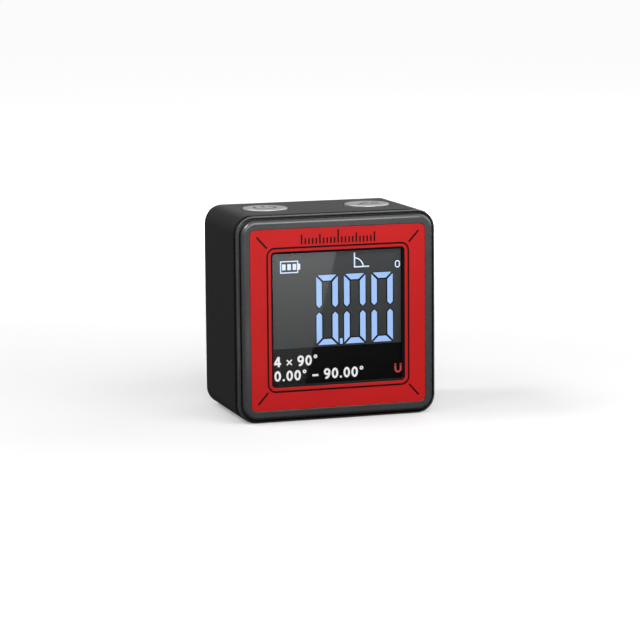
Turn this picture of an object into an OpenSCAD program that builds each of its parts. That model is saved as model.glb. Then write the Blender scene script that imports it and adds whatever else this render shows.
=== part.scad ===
// Small digital angle gauge: a square box with a lit display, two push buttons and a magnetic base.
// The front faces -Y, the base stands on Z = 0. Millimetres.

/* [Case] */
// Width of the case, across the front
case_w = 45; // [43:0.5:60]
// Height of the case, without the buttons
case_h = 45; // [43:0.5:60]
// Depth of the case, front to rear
case_d = 28; // [27:0.5:40]
// Radius of the four long corners
corner_r = 4; // [3.2:0.1:6]
// Thickness of the housing's walls
wall = 1.8; // [1.4:0.1:2.4]
// Rounding of the rear edge
rear_round = 0.6; // [0.3:0.1:1.4]

/* [Front bezel] */
// How far the raised frame stands in front of the flange
bezel_rise = 1.3; // [1.2:0.1:2]
// Rounding of the raised frame's outer edge
bezel_round = 0.8; // [0.4:0.05:1.2]
// Width of the grey border beside the face plate
side_border = 1.8; // [1.6:0.05:2.8]
// Width of the grey border above and below the face plate
top_border = 1.95; // [1.6:0.05:2.8]
// Width of the narrow rim along the flange's outer edge
ledge = 0.35; // [0.2:0.05:0.8]
// Width of the dark seam between that rim and the raised frame
seam_w = 0.5; // [0.2:0.05:0.6]
// Thickness of the flange behind the seam
seam_floor = 0.4; // [0.3:0.05:0.5]
// Thickness of the flange
flange_t = 1; // [0.6:0.1:1.6]
// Width of the shadow groove between flange and housing
groove_w = 1.4; // [0.6:0.1:2]
// Depth of the shadow groove
groove_deep = 0.6; // [0.3:0.1:0.9]

/* [Face plate] */
// Thickness of the face plate
plate_t = 0.5; // [0.3:0.1:0.8]
// How far the plate lies below the bezel's front
plate_recess = 0.1; // [0.08:0.02:0.4]
// Corner radius of the plate
plate_r = 1.3; // [0.8:0.1:3]
// Width of the red border beside the window
side_red = 4.65; // [4.3:0.05:6]
// Width of the red border above and below the window
top_red = 4.9; // [4.3:0.05:6]
// Corner radius of the window
window_r = 0.9; // [0.4:0.1:2]
// Width of the printed lines
line_w = 0.35; // [0.2:0.05:0.6]
// Gap between the window and the printed frame line
line_gap = 0.65; // [0.4:0.05:1.2]
// Distance from the plate's edges to the outer ends of the corner lines
corner_line_margin = 1.5; // [0.8:0.1:2.2]

/* [Display] */
// Thickness of the lens
lens_t = 1.2; // [0.8:0.1:1.6]
// How far the lens reaches under the plate
lens_lap = 1; // [0.6:0.1:1.4]
// Thickness of printed layers and of the lit figures
print_t = 0.08; // [0.05:0.01:0.12]
// Width of the black border printed inside the window
mask_border = 0.3; // [0.15:0.05:0.6]
// Height of the display that shows, from the top of the window
view_h = 21.4; // [21:0.1:23]
// Thickness of the liquid crystal panel
panel_t = 2; // [1.4:0.1:2.6]
// How far the panel reaches past the window at its sides and top
panel_lap = 1.7; // [1.4:0.1:1.9]
// Height of the panel's contact strip below the part that shows
panel_contact_h = 3.3; // [2.6:0.1:4]
// Thickness of the backlight
backlight_t = 2.4; // [1.6:0.1:3]

/* [Figures] */
// Width of a figure
figure_w = 4.9; // [4.4:0.1:5.4]
// Height of a figure
figure_h = 15.3; // [13:0.1:15.6]
// Distance from figure to figure
figure_pitch = 6.3; // [6.2:0.05:7]
// Thickness of a stroke
stroke = 1.24; // [1:0.02:1.6]
// Gap between strokes at a corner
stroke_gap = 0.45; // [0.15:0.05:0.5]
// Gap between the upper and lower strokes
middle_gap = 1; // [0.6:0.1:1.4]
// Distance from the window's right edge to the last figure
figure_right = 2.2; // [1:0.1:3]
// Distance from the window's top to the figures
figure_top = 5.7; // [5.4:0.1:6]
// Number of figures
figure_count = 3; // [1:1:3]

/* [Buttons] */
// Diameter of a button
button_d = 10; // [8:0.1:10.4]
// Distance from the case's side to a button's axis
button_inset = 10.7; // [10:0.1:13]
// How far a button stands above the case
button_proud = 0.25; // [0.1:0.05:0.6]
// Gap round a button
button_gap = 0.18; // [0.1:0.02:0.3]
// Travel of a button
button_travel = 0.4; // [0.2:0.05:0.5]
// Rounding of a button's top edge
button_round = 0.25; // [0.1:0.05:0.4]

/* [Boards] */
// Thickness of the main board
board_t = 1.6; // [1:0.1:2]
// Thickness of the switch board
switch_board_t = 1; // [0.8:0.1:1.6]
// Front to rear size of the switch board
switch_board_d = 12; // [10:0.2:12.4]
// Side of a push switch
switch_w = 6.2; // [5:0.1:7]
// Height of a push switch's box
switch_h = 2.4; // [2:0.1:3]
// Diameter of a switch plunger
plunger_d = 3.4; // [2.4:0.1:4]
// Width of the ribbon between the boards
ribbon_w = 8; // [5:0.5:9]

/* [Power] */
// Width of the battery cell
cell_w = 28; // [20:0.5:32]
// Height of the battery cell
cell_h = 20; // [15:0.5:22]
// Thickness of the battery cell
cell_t = 6; // [4:0.2:7]
// Height of the battery cell above the base
cell_lift = 6.2; // [6:0.1:7]
// Thickness of the foam pad behind the cell
foam_t = 0.6; // [0.3:0.1:1]
// Width of the charging socket's shell
socket_w = 9; // [8.5:0.1:9.6]
// Height of the charging socket's shell
socket_h = 3.2; // [3:0.1:3.6]
// Length of the charging socket's shell
socket_len = 7.4; // [6:0.1:8]

/* [Base magnets] */
// Diameter of a magnet
magnet_d = 9; // [6:0.5:10]
// Thickness of a magnet
magnet_t = 2; // [1.5:0.1:2.4]
// Distance of the magnets from the middle
magnet_x = 11; // [8:0.5:12]
// How far the magnets lie above the base plane
magnet_recess = 0.1; // [0.05:0.05:0.3]

/* [Fasteners] */
// Thread diameter of the case screws
case_screw_d = 2; // [1.6:0.1:2.2]
// Head diameter of the case screws
case_head_d = 3.6; // [3.2:0.1:3.8]
// Thread diameter of the board screws
board_screw_d = 1.4; // [1.2:0.1:1.6]
// Head diameter of the board screws
board_head_d = 2.6; // [2.2:0.1:2.8]
// Radius of the housing's corner bosses
boss_r = 2; // [1.8:0.05:2.05]

/* [Hidden] */
$fn = 64;

// Named clearances
fit_gap = 0.15;
slip_gap = 0.05;
thread_gap = 0.02;
plunger_gap = 0.08;
hole_gap = 0.1;
head_gap = 0.2;
board_gap = 0.4;
boss_gap = 0.12;
notch_gap = 0.4;
part_gap = 0.7;
cut = 0.5;

// Depths behind the front plane, front to rear
plate_front = plate_recess;
lens_front = plate_front + plate_t;
mask_front = lens_front + lens_t;
panel_front = mask_front + print_t;
light_front = panel_front + panel_t;
board_front = light_front + backlight_t;
board_rear = board_front + board_t;
flange_front = bezel_rise;
groove_front = flange_front + flange_t;
seam_rear = groove_front - seam_floor;
housing_front = groove_front + groove_w;
rear_in = case_d - wall;

// Outlines
rim_inset = ledge + seam_w;
raised_w = case_w - 2 * rim_inset;
raised_h = case_h - 2 * rim_inset;
raised_r = corner_r - rim_inset;
plate_w = raised_w - 2 * side_border;
plate_h = raised_h - 2 * top_border;
window_w = plate_w - 2 * side_red;
window_h = plate_h - 2 * top_red;
inner_w = case_w - 2 * wall;
inner_h = case_h - 2 * wall;
inner_r = corner_r - wall;
spigot_w = inner_w - 2 * fit_gap;
spigot_h = inner_h - 2 * fit_gap;
spigot_r = inner_r - fit_gap;
lens_w = window_w + 2 * lens_lap;
lens_h = window_h + 2 * lens_lap;
lens_r = window_r + lens_lap / 3;
panel_w = window_w + 2 * panel_lap;
panel_top = window_h / 2 + panel_lap;
view_bottom = window_h / 2 - view_h;
panel_bottom = view_bottom - panel_contact_h;
panel_h = panel_top - panel_bottom;
board_w = inner_w - 2 * board_gap;
board_h = inner_h - 2 * board_gap;

// Case screws sit in the corners, a set distance from the inner corner
screw_edge = 1.65;
screw_inset = corner_r - (inner_r - screw_edge) / sqrt(2);
screw_x = case_w / 2 - screw_inset;
screw_y = case_h / 2 - screw_inset;
case_head_h = 1.3;
case_head_sink = 0.4;
case_head_seat = case_d - case_head_sink - case_head_h;
case_tip_web = 0.8;
case_screw_tip = panel_front + case_tip_web;
case_screw_hole_d = case_screw_d + 2 * hole_gap;
head_pocket_d = case_head_d + 2 * head_gap;
boss_front = board_front + boss_gap;

// Board screws, in the bezel's side walls
board_screw_x = (panel_w / 2 + fit_gap + spigot_w / 2) / 2;
board_screw_y = 9;
board_screw_past = 0.6;
board_screw_tip = light_front - board_screw_past;
board_head_h = 0.8;

// Buttons and switches, from the top wall downwards
top_in = case_h - wall;
button_x = case_w / 2 - button_inset;
button_at = (housing_front + case_d) / 2;
tab_gap = 0.05;
tab_t = 1;
tab_reach = 1;
tab_w = 7.2;
skirt = 0.55;
nub_h = 0.6;
nub_d = 3;
plunger_show = 1;
plunger_guide = 0.25;
plunger_sunk = button_travel + plunger_guide;
tab_top = top_in - tab_gap;
tab_bottom = tab_top - tab_t;
plunger_top = tab_bottom - nub_h;
switch_top = plunger_top - plunger_show;
switch_board_top = switch_top - switch_h;
switch_board_bottom = switch_board_top - switch_board_t;
switch_board_gap = 0.5;
switch_board_w = inner_w - 2 * switch_board_gap;
switch_board_front = button_at - switch_board_d / 2;
post_r = 1.8;
post_apart = 3.6;

// Ribbon: up from the main board, over a bend, back under the switch board
ribbon_t = 0.3;
ribbon_bend = 1.6;
ribbon_grip = 1;
ribbon_socket_h = 1.8;
ribbon_socket_rim = 1;
ribbon_socket_w = ribbon_w + 2 * ribbon_socket_rim;
ribbon_x = board_head_d / 2 + part_gap + ribbon_socket_w / 2;
ribbon_socket_long = 3;
ribbon_level = switch_board_bottom - ribbon_socket_h / 2;
ribbon_rise_at = board_rear + ribbon_socket_h / 2;
ribbon_rise_top = ribbon_level - ribbon_bend;
ribbon_straight = 1.4;
ribbon_run = 0.8;
main_socket_top = ribbon_rise_top - ribbon_straight;
switch_socket_front = ribbon_rise_at + ribbon_bend + ribbon_run;

// Battery, plug and leads
cell_rear = rear_in - foam_t;
cell_front = cell_rear - cell_t;
cell_top = cell_lift + cell_h;
lead_d = 1;
lead_bend = 1.2;
lead_rise = 3;
lead_at = cell_front + cell_t / 2;
plug_x = -8;
plug_z = cell_top + lead_rise;
lead_apart = 2;
battery_socket_w = 6.4;
battery_socket_h = 4.5;
battery_socket_t = 3;
battery_socket_rim = 0.4;
battery_socket_floor = 0.9;
plug_show = 2;
plug_back = board_rear + battery_socket_t + plug_show;

// Charging socket, in the right wall
socket_front = board_rear;
socket_mid = socket_front + socket_h / 2;
socket_mouth = case_w / 2 - wall - slip_gap;
socket_shell = 0.3;
socket_hole_gap = 0.3;
socket_dish_gap = 1.4;
socket_dish_deep = 0.7;

// Magnets in the base
magnet_pad_wall = 1.1;
magnet_gap = 0.1;
magnet_at = button_at;

// Placing: children drawn facing up, with height as distance from the rear, are stood upright
module upright() {
    translate([0, -case_d / 2, case_h / 2])
        rotate([90, 0, 0])
            children();
}

// A layer of the upright stack, from a depth behind the front plane
module layer(front, thick) {
    upright()
        translate([0, 0, -front - thick])
            linear_extrude(thick)
                children();
}

// A column along the depth, on an upright position
module column(x, y, front, rear, d) {
    upright()
        translate([x, y, -rear])
            cylinder(d = d, h = rear - front);
}

// Children in the four corners
module in_corners(x, y) {
    for (sx = [-1, 1])
        for (sy = [-1, 1])
            translate([sx * x, sy * y])
                children();
}

// Rectangle with round corners, centred
module rounded_rect(w, h, r) {
    square([w - 2 * r, h], center = true);
    square([w, h - 2 * r], center = true);
    in_corners(w / 2 - r, h / 2 - r)
        circle(r);
}

// Ring between two rounded rectangles
module rounded_ring(w, h, r, inset) {
    difference() {
        rounded_rect(w, h, r);
        rounded_rect(w - 2 * inset, h - 2 * inset, max(r - inset, 0.05));
    }
}

// Slot shape with round ends, long along y
module slot_shape(w, h) {
    square([h, w - h], center = true);
    for (s = [-1, 1])
        translate([0, s * (w - h) / 2])
            circle(d = h);
}

// Block with rounded long corners and its top edge rounded over: one edge profile carried along
// the four sides and turned round the four corners, with a plain core
module soft_block(w, h, r, deep, edge_round) {
    module edge() {
        square([r, deep - edge_round]);
        square([r - edge_round, deep]);
        translate([r - edge_round, deep - edge_round])
            circle(edge_round);
    }
    linear_extrude(deep)
        square([w - 2 * r, h - 2 * r], center = true);
    for (turn = [0 : 3]) {
        across = turn % 2 == 0 ? w : h;
        along = turn % 2 == 0 ? h : w;
        rotate(90 * turn)
            translate([across / 2 - r, along / 2 - r, 0]) {
                rotate([90, 0, 0])
                    linear_extrude(along - 2 * r)
                        edge();
                rotate_extrude(angle = 90)
                    edge();
            }
    }
}

// Screw along +Z, head at the bottom, cross recess in the head
module cross_screw(d, length, head_d, head_h) {
    recess_w = head_d / 6;
    difference() {
        union() {
            cylinder(d = head_d, h = head_h);
            translate([0, 0, head_h])
                cylinder(d = d, h = length);
        }
        for (turn = [0, 90])
            rotate(turn)
                translate([-head_d / 3, -recess_w / 2, -cut])
                    cube([head_d * 2 / 3, recess_w, head_h / 2 + cut]);
    }
}

// A screw whose head points to the rear, on an upright position
module rear_screw(x, y, seat, tip, d, head_d, head_h) {
    upright()
        translate([x, y, -seat - head_h])
            cross_screw(d, seat - tip, head_d, head_h);
}

// Case

module housing_shell() {
    difference() {
        upright()
            translate([0, 0, -housing_front])
                mirror([0, 0, 1])
                    soft_block(case_w, case_h, corner_r, case_d - housing_front, rear_round);
        layer(housing_front - cut, rear_in - housing_front + cut)
            rounded_rect(inner_w, inner_h, inner_r);
    }
}

module housing_bosses() {
    intersection() {
        layer(boss_front, case_d - wall / 2 - boss_front)
            in_corners(screw_x, screw_y)
                circle(boss_r);
        layer(boss_front, case_d - boss_front)
            rounded_rect(case_w - wall, case_h - wall, corner_r - wall / 2);
    }
    for (s = [-1, 1])
        translate([0, button_at + s * post_apart - case_d / 2, switch_board_top])
            cylinder(r = post_r, h = case_h - wall / 2 - switch_board_top);
    rest_w = 2.4;
    rest_d = 4;
    for (s = [-1, 1])
        translate([s * (case_w - wall - rest_w) / 2 - rest_w / 2, button_at - case_d / 2 - rest_d / 2,
                   switch_board_top])
            cube([rest_w, rest_d, case_h / 2 + screw_y - switch_board_top]);
    for (s = [-1, 1])
        translate([s * magnet_x, magnet_at - case_d / 2, wall / 2])
            cylinder(d = magnet_d + 2 * magnet_gap + 2 * magnet_pad_wall,
                     h = magnet_recess + magnet_t + magnet_pad_wall - wall / 2);
}

module charging_cutout() {
    translate([case_w / 2 - wall - cut, socket_mid - case_d / 2, case_h / 2])
        rotate([90, 0, 90])
            linear_extrude(wall + 2 * cut)
                slot_shape(socket_w + 2 * socket_hole_gap, socket_h + 2 * socket_hole_gap);
    translate([case_w / 2 - socket_dish_deep, socket_mid - case_d / 2, case_h / 2])
        rotate([90, 0, 90])
            linear_extrude(socket_dish_deep + cut)
                slot_shape(socket_w + 2 * socket_dish_gap, socket_h + 2 * socket_dish_gap);
}

module main_housing() {
    color("#2b2c2e")
        difference() {
            union() {
                housing_shell();
                housing_bosses();
            }
            for (sx = [-1, 1])
                for (sy = [-1, 1]) {
                    column(sx * screw_x, sy * screw_y, boss_front - cut, case_d, case_screw_hole_d);
                    column(sx * screw_x, sy * screw_y, case_head_seat, case_d + cut, head_pocket_d);
                }
            for (s = [-1, 1]) {
                translate([s * button_x, button_at - case_d / 2, top_in - cut])
                    cylinder(d = button_d + 2 * button_gap, h = wall + 2 * cut);
                translate([0, button_at + s * post_apart - case_d / 2, switch_board_top - cut])
                    cylinder(d = board_screw_d + 2 * thread_gap, h = top_in - switch_board_top);
                translate([s * magnet_x, magnet_at - case_d / 2, -cut])
                    cylinder(d = magnet_d + 2 * magnet_gap, h = magnet_recess + magnet_t + cut);
            }
            charging_cutout();
        }
}

module front_bezel() {
    shelf_web = 1.5;
    shelf_wall = 1.5;
    spigot_bottom = spigot_h / 2;
    pocket_top = panel_bottom - fit_gap - shelf_wall;
    pocket_bottom = -spigot_bottom + shelf_wall;
    pocket_w = 2 * (screw_x - boss_r - shelf_wall);
    color("#46484b")
        difference() {
            union() {
                upright()
                    translate([0, 0, -seam_rear])
                        soft_block(raised_w, raised_h, raised_r, seam_rear, bezel_round);
                layer(flange_front, seam_rear - flange_front)
                    rounded_ring(case_w, case_h, corner_r, ledge);
                layer(seam_rear, seam_floor)
                    rounded_rect(case_w, case_h, corner_r);
                layer(groove_front, groove_w)
                    rounded_rect(case_w - 2 * groove_deep, case_h - 2 * groove_deep,
                                 corner_r - groove_deep);
                layer(housing_front, board_front - housing_front)
                    rounded_rect(spigot_w, spigot_h, spigot_r);
            }
            layer(-cut, lens_front + cut)
                rounded_rect(plate_w + 2 * slip_gap, plate_h + 2 * slip_gap, plate_r + slip_gap);
            layer(lens_front - cut, panel_front - lens_front + cut)
                rounded_rect(lens_w + 2 * slip_gap, lens_h + 2 * slip_gap, lens_r + slip_gap);
            layer(panel_front, board_front - panel_front + cut)
                translate([-panel_w / 2 - fit_gap, panel_bottom - fit_gap])
                    square([panel_w + 2 * fit_gap, panel_h + 2 * fit_gap]);
            layer(panel_front + shelf_web, board_front - panel_front - shelf_web + cut)
                translate([-pocket_w / 2, pocket_bottom])
                    square([pocket_w, pocket_top - pocket_bottom]);
            for (sx = [-1, 1])
                for (sy = [-1, 1]) {
                    column(sx * screw_x, sy * screw_y, case_screw_tip - thread_gap, board_front + cut,
                           case_screw_d + 2 * thread_gap);
                    column(sx * board_screw_x, sy * board_screw_y, board_screw_tip - thread_gap,
                           board_front + cut, board_screw_d + 2 * thread_gap);
                }
        }
}

module case_screws() {
    color("#8d9094")
        for (sx = [-1, 1])
            for (sy = [-1, 1])
                rear_screw(sx * screw_x, sy * screw_y, case_head_seat, case_screw_tip,
                           case_screw_d, case_head_d, case_head_h);
}

module base_magnets() {
    color("#b9bcc0")
        for (s = [-1, 1])
            translate([s * magnet_x, magnet_at - case_d / 2, magnet_recess])
                cylinder(d = magnet_d, h = magnet_t);
}

// Face

module face_plate() {
    color("#c0262b")
        layer(plate_front, plate_t)
            difference() {
                rounded_rect(plate_w, plate_h, plate_r);
                rounded_rect(window_w, window_h, window_r);
            }
}

// A corner line runs from near the plate's corner towards the rounded corner of the frame line
module corner_line() {
    frame_reach = line_gap + line_w;
    frame_r = window_r + line_gap;
    rounding = frame_r * (1 - 1 / sqrt(2));
    start = [plate_w / 2 - corner_line_margin, plate_h / 2 - corner_line_margin];
    end = [window_w / 2 + frame_reach - rounding + line_w, window_h / 2 + frame_reach - rounding + line_w];
    run = start - end;
    translate(end)
        rotate(atan2(run.y, run.x))
            translate([0, -line_w / 2])
                square([norm(run), line_w]);
}

module plate_lines() {
    line_t = min(print_t, plate_recess) * 0.75;
    color("#1a0708")
        layer(plate_front - line_t, line_t) {
            rounded_ring(window_w + 2 * (line_gap + line_w), window_h + 2 * (line_gap + line_w),
                         window_r + line_gap + line_w, line_w);
            for (mx = [0, 1])
                for (my = [0, 1])
                    mirror([mx, 0])
                        mirror([0, my])
                            corner_line();
        }
}

module lens() {
    color("#9fb4c466")
        layer(lens_front, lens_t)
            rounded_rect(lens_w, lens_h, lens_r);
}

module lens_mask() {
    color("#0b0c0d")
        layer(mask_front, print_t)
            difference() {
                rounded_rect(lens_w, lens_h, lens_r);
                translate([-window_w / 2 + mask_border, view_bottom])
                    square([window_w - 2 * mask_border, view_h - mask_border]);
            }
}

module lcd_panel() {
    color("#4a4b4d")
        layer(panel_front, panel_t)
            translate([-panel_w / 2, panel_bottom])
                square([panel_w, panel_h]);
}

// Upper left quarter of a zero: half of the top stroke and the upper upright, both mitred at the corner
// and the upright pointed at the middle gap
module zero_quarter() {
    half_w = figure_w / 2;
    half_h = figure_h / 2;
    miter = stroke_gap / sqrt(2);
    polygon([[-half_w + miter, half_h], [0, half_h], [0, half_h - stroke],
             [-half_w + stroke + miter, half_h - stroke]]);
    polygon([[-half_w, half_h - miter], [-half_w + stroke, half_h - stroke - miter],
             [-half_w + stroke, middle_gap / 2 + stroke / 2], [-half_w + stroke / 2, middle_gap / 2],
             [-half_w, middle_gap / 2 + stroke / 2]]);
}

module zero_figure() {
    for (mx = [0, 1])
        for (my = [0, 1])
            mirror([mx, 0])
                mirror([0, my])
                    zero_quarter();
}

module lcd_figures() {
    first_x = window_w / 2 - figure_right - figure_w / 2 - (figure_count - 1) * figure_pitch;
    middle_y = window_h / 2 - figure_top - figure_h / 2;
    point_gap = 0.38;
    point_w = figure_pitch - figure_w - 2 * point_gap;
    point_h = stroke;
    color("#bcd6f5")
        layer(mask_front, print_t) {
            for (i = [0 : figure_count - 1])
                translate([first_x + i * figure_pitch, middle_y])
                    zero_figure();
            translate([first_x + figure_pitch / 2, middle_y - figure_h / 2 + point_h / 2])
                square([point_w, point_h], center = true);
        }
}

module battery_sign() {
    sign_w = 4.1;
    sign_h = 2.7;
    sign_line = 0.25;
    bar_w = 0.8;
    bar_pitch = 1.2;
    bar_inset = 0.7;
    nub_w = 0.45;
    difference() {
        square([sign_w, sign_h], center = true);
        square([sign_w - 2 * sign_line, sign_h - 2 * sign_line], center = true);
    }
    for (i = [-1 : 1])
        translate([i * bar_pitch, 0])
            square([bar_w, sign_h - 2 * bar_inset], center = true);
    translate([sign_w / 2 + nub_w / 2, 0])
        square([nub_w, sign_h / 2], center = true);
}

module angle_sign() {
    sign_w = 3.5;
    sign_h = 3.3;
    sign_line = 0.3;
    arc_r = 2;
    square([sign_w, sign_line]);
    square([sign_line, sign_h]);
    intersection() {
        difference() {
            circle(arc_r + sign_line);
            circle(arc_r);
        }
        square(arc_r + sign_line);
    }
}

module degree_sign() {
    ring_w = 1.2;
    ring_h = 1.65;
    ring_r = 0.56;
    ring_line = 0.27;
    rounded_ring(ring_w, ring_h, ring_r, ring_line);
}

module lcd_signs() {
    battery_left = 4.6;
    battery_down = 3.6;
    angle_right = 11.1;
    angle_down = 4.4;
    degree_right = 1.1;
    degree_down = 4.05;
    color("#c6d8f8")
        layer(mask_front, print_t) {
            translate([-window_w / 2 + battery_left, window_h / 2 - battery_down])
                battery_sign();
            translate([window_w / 2 - angle_right, window_h / 2 - angle_down])
                angle_sign();
            translate([window_w / 2 - degree_right, window_h / 2 - degree_down])
                degree_sign();
        }
}

module backlight() {
    rim = 0.2;
    color("#e8e9e6")
        layer(light_front, backlight_t)
            translate([-panel_w / 2 + rim, view_bottom + rim])
                square([panel_w - 2 * rim, panel_top - view_bottom - 2 * rim]);
}

module elastomer_strip() {
    end_inset = 1;
    side_inset = 0.55;
    strip_w = panel_w - 2 * end_inset;
    strip_h = panel_contact_h - 2 * side_inset;
    color("#c98fa0")
        layer(light_front, backlight_t)
            translate([-strip_w / 2, panel_bottom + (panel_contact_h - strip_h) / 2])
                square([strip_w, strip_h]);
}

// Main board and what is on it

module main_board() {
    notch_x = screw_x - boss_r - notch_gap;
    notch_y = screw_y - boss_r - notch_gap;
    color("#1f5c3a")
        layer(board_front, board_t)
            difference() {
                square([board_w, board_h], center = true);
                for (sx = [-1, 1])
                    for (sy = [-1, 1])
                        translate([sx * (notch_x + board_w / 2), sy * (notch_y + board_h / 2)])
                            square([board_w, board_h], center = true);
                in_corners(board_screw_x, board_screw_y)
                    circle(d = board_screw_d + 2 * hole_gap);
            }
}

module board_screws() {
    color("#a3a6aa")
        for (sx = [-1, 1])
            for (sy = [-1, 1])
                rear_screw(sx * board_screw_x, sy * board_screw_y, board_rear, board_screw_tip,
                           board_screw_d, board_head_d, board_head_h);
}

module controller_chip() {
    chip_w = 8;
    chip_t = 1.2;
    chip_x = -4;
    chip_y = -8;
    mark_d = 0.8;
    mark_edge = 1.2;
    mark_deep = 0.1;
    color("#202124")
        difference() {
            layer(board_rear, chip_t)
                translate([chip_x, chip_y])
                    square(chip_w, center = true);
            column(chip_x - chip_w / 2 + mark_edge, chip_y + chip_w / 2 - mark_edge,
                   board_rear + chip_t - mark_deep, board_rear + chip_t + cut, mark_d);
        }
}

module tilt_sensor() {
    sensor_w = 4.5;
    sensor_t = 1.4;
    sensor_x = 6;
    sensor_y = -11;
    color("#b8b2a2")
        layer(board_rear, sensor_t)
            translate([sensor_x, sensor_y])
                square(sensor_w, center = true);
}

module board_parts() {
    part_w = 1.6;
    part_h = 0.8;
    part_t = 0.6;
    part_step = 2.2;
    part_count = 5;
    column_x = -14;
    column_y = -14;
    row_x = -6;
    row_y = -15;
    color("#8a7a5c")
        layer(board_rear, part_t)
            for (i = [0 : part_count - 1]) {
                translate([column_x, column_y + i * part_step])
                    square([part_w, part_h], center = true);
                translate([row_x + i * part_step, row_y])
                    square([part_h, part_w], center = true);
            }
}

module battery_socket() {
    rim = 2 * battery_socket_rim;
    color("#e6e2d4")
        difference() {
            layer(board_rear, battery_socket_t)
                translate([plug_x, plug_z - case_h / 2])
                    square([battery_socket_w, battery_socket_h], center = true);
            layer(board_rear + battery_socket_floor, battery_socket_t)
                translate([plug_x, plug_z - case_h / 2])
                    square([battery_socket_w - rim, battery_socket_h - rim], center = true);
        }
}

module battery_plug() {
    rim = 2 * battery_socket_rim + 2 * slip_gap;
    plug_front = board_rear + battery_socket_floor;
    color("#f0ede2")
        layer(plug_front, plug_back - plug_front)
            translate([plug_x, plug_z - case_h / 2])
                square([battery_socket_w - rim, battery_socket_h - rim], center = true);
}

// A lead: up out of the cell, round one bend and forward into the plug
module lead(x) {
    translate([x, 0, 0]) {
        translate([0, lead_at - case_d / 2, cell_top])
            cylinder(d = lead_d, h = lead_rise - lead_bend);
        translate([0, lead_at - lead_bend - case_d / 2, plug_z - lead_bend])
            rotate([90, 0, 90])
                rotate_extrude(angle = 90)
                    translate([lead_bend, 0])
                        circle(d = lead_d);
        translate([0, plug_back - case_d / 2, plug_z])
            rotate([-90, 0, 0])
                cylinder(d = lead_d, h = lead_at - lead_bend - plug_back);
    }
}

module lead_positive() {
    color("#b3262a")
        lead(plug_x - lead_apart / 2);
}

module lead_negative() {
    color("#1c1c1e")
        lead(plug_x + lead_apart / 2);
}

module main_ribbon_socket() {
    color("#d9d2bd")
        difference() {
            translate([ribbon_x - ribbon_socket_w / 2, board_rear - case_d / 2,
                       main_socket_top - ribbon_socket_long])
                cube([ribbon_socket_w, ribbon_socket_h, ribbon_socket_long]);
            translate([ribbon_x - ribbon_w / 2 - slip_gap,
                       ribbon_rise_at - ribbon_t / 2 - slip_gap - case_d / 2,
                       main_socket_top - ribbon_grip])
                cube([ribbon_w + 2 * slip_gap, ribbon_t + 2 * slip_gap, ribbon_grip + cut]);
        }
}

module switch_ribbon_socket() {
    color("#d9d2bd")
        difference() {
            translate([ribbon_x - ribbon_socket_w / 2, switch_socket_front - case_d / 2,
                       switch_board_bottom - ribbon_socket_h])
                cube([ribbon_socket_w, ribbon_socket_long, ribbon_socket_h]);
            translate([ribbon_x - ribbon_w / 2 - slip_gap, switch_socket_front - cut - case_d / 2,
                       ribbon_level - ribbon_t / 2 - slip_gap])
                cube([ribbon_w + 2 * slip_gap, ribbon_grip + cut, ribbon_t + 2 * slip_gap]);
        }
}

// The ribbon's side view, with depth along x and height along y
module ribbon_profile() {
    bottom = main_socket_top - ribbon_grip;
    translate([ribbon_rise_at - ribbon_t / 2, bottom])
        square([ribbon_t, ribbon_rise_top - bottom]);
    translate([ribbon_rise_at + ribbon_bend, ribbon_rise_top])
        intersection() {
            difference() {
                circle(ribbon_bend + ribbon_t / 2);
                circle(ribbon_bend - ribbon_t / 2);
            }
            translate([-2 * ribbon_bend, 0])
                square(2 * ribbon_bend);
        }
    translate([ribbon_rise_at + ribbon_bend, ribbon_level - ribbon_t / 2])
        square([switch_socket_front + ribbon_grip - ribbon_rise_at - ribbon_bend, ribbon_t]);
}

module board_ribbon() {
    color("#d8dbe0")
        translate([ribbon_x - ribbon_w / 2, -case_d / 2, 0])
            rotate([90, 0, 90])
                linear_extrude(ribbon_w)
                    ribbon_profile();
}

module charging_socket() {
    tongue_t = 0.7;
    tongue_inset = 1.1;
    tongue_w = socket_w - 2 * tongue_inset;
    floor_t = 1.2;
    mouth_gap = 0.9;
    color("#a9acb0")
        translate([socket_mouth - socket_len, socket_mid - case_d / 2, case_h / 2])
            rotate([90, 0, 90]) {
                difference() {
                    linear_extrude(socket_len)
                        slot_shape(socket_w, socket_h);
                    translate([0, 0, floor_t])
                        linear_extrude(socket_len)
                            slot_shape(socket_w - 2 * socket_shell, socket_h - 2 * socket_shell);
                }
                linear_extrude(socket_len - mouth_gap)
                    square([tongue_t, tongue_w], center = true);
            }
}

// Buttons and switches

module switch_board() {
    color("#1f5c3a")
        difference() {
            translate([-switch_board_w / 2, switch_board_front - case_d / 2, switch_board_bottom])
                cube([switch_board_w, switch_board_d, switch_board_t]);
            for (s = [-1, 1])
                translate([0, button_at + s * post_apart - case_d / 2, switch_board_bottom - cut])
                    cylinder(d = board_screw_d + 2 * hole_gap, h = switch_board_t + 2 * cut);
        }
}

module switch_board_screws() {
    bite = 3.2;
    color("#a3a6aa")
        for (s = [-1, 1])
            translate([0, button_at + s * post_apart - case_d / 2, switch_board_bottom - board_head_h])
                cross_screw(board_screw_d, switch_board_t + bite, board_head_d, board_head_h);
}

module push_switch(x) {
    color("#2a2b2d")
        translate([x, button_at - case_d / 2, switch_board_top])
            difference() {
                translate([-switch_w / 2, -switch_w / 2, 0])
                    cube([switch_w, switch_w, switch_h]);
                translate([0, 0, switch_h - plunger_sunk - button_travel])
                    cylinder(d = plunger_d + 2 * plunger_gap, h = plunger_sunk + button_travel + cut);
            }
}

module plunger(x) {
    color("#3a3b3e")
        translate([x, button_at - case_d / 2, switch_top - plunger_sunk])
            cylinder(d = plunger_d, h = plunger_sunk + plunger_show);
}

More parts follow.
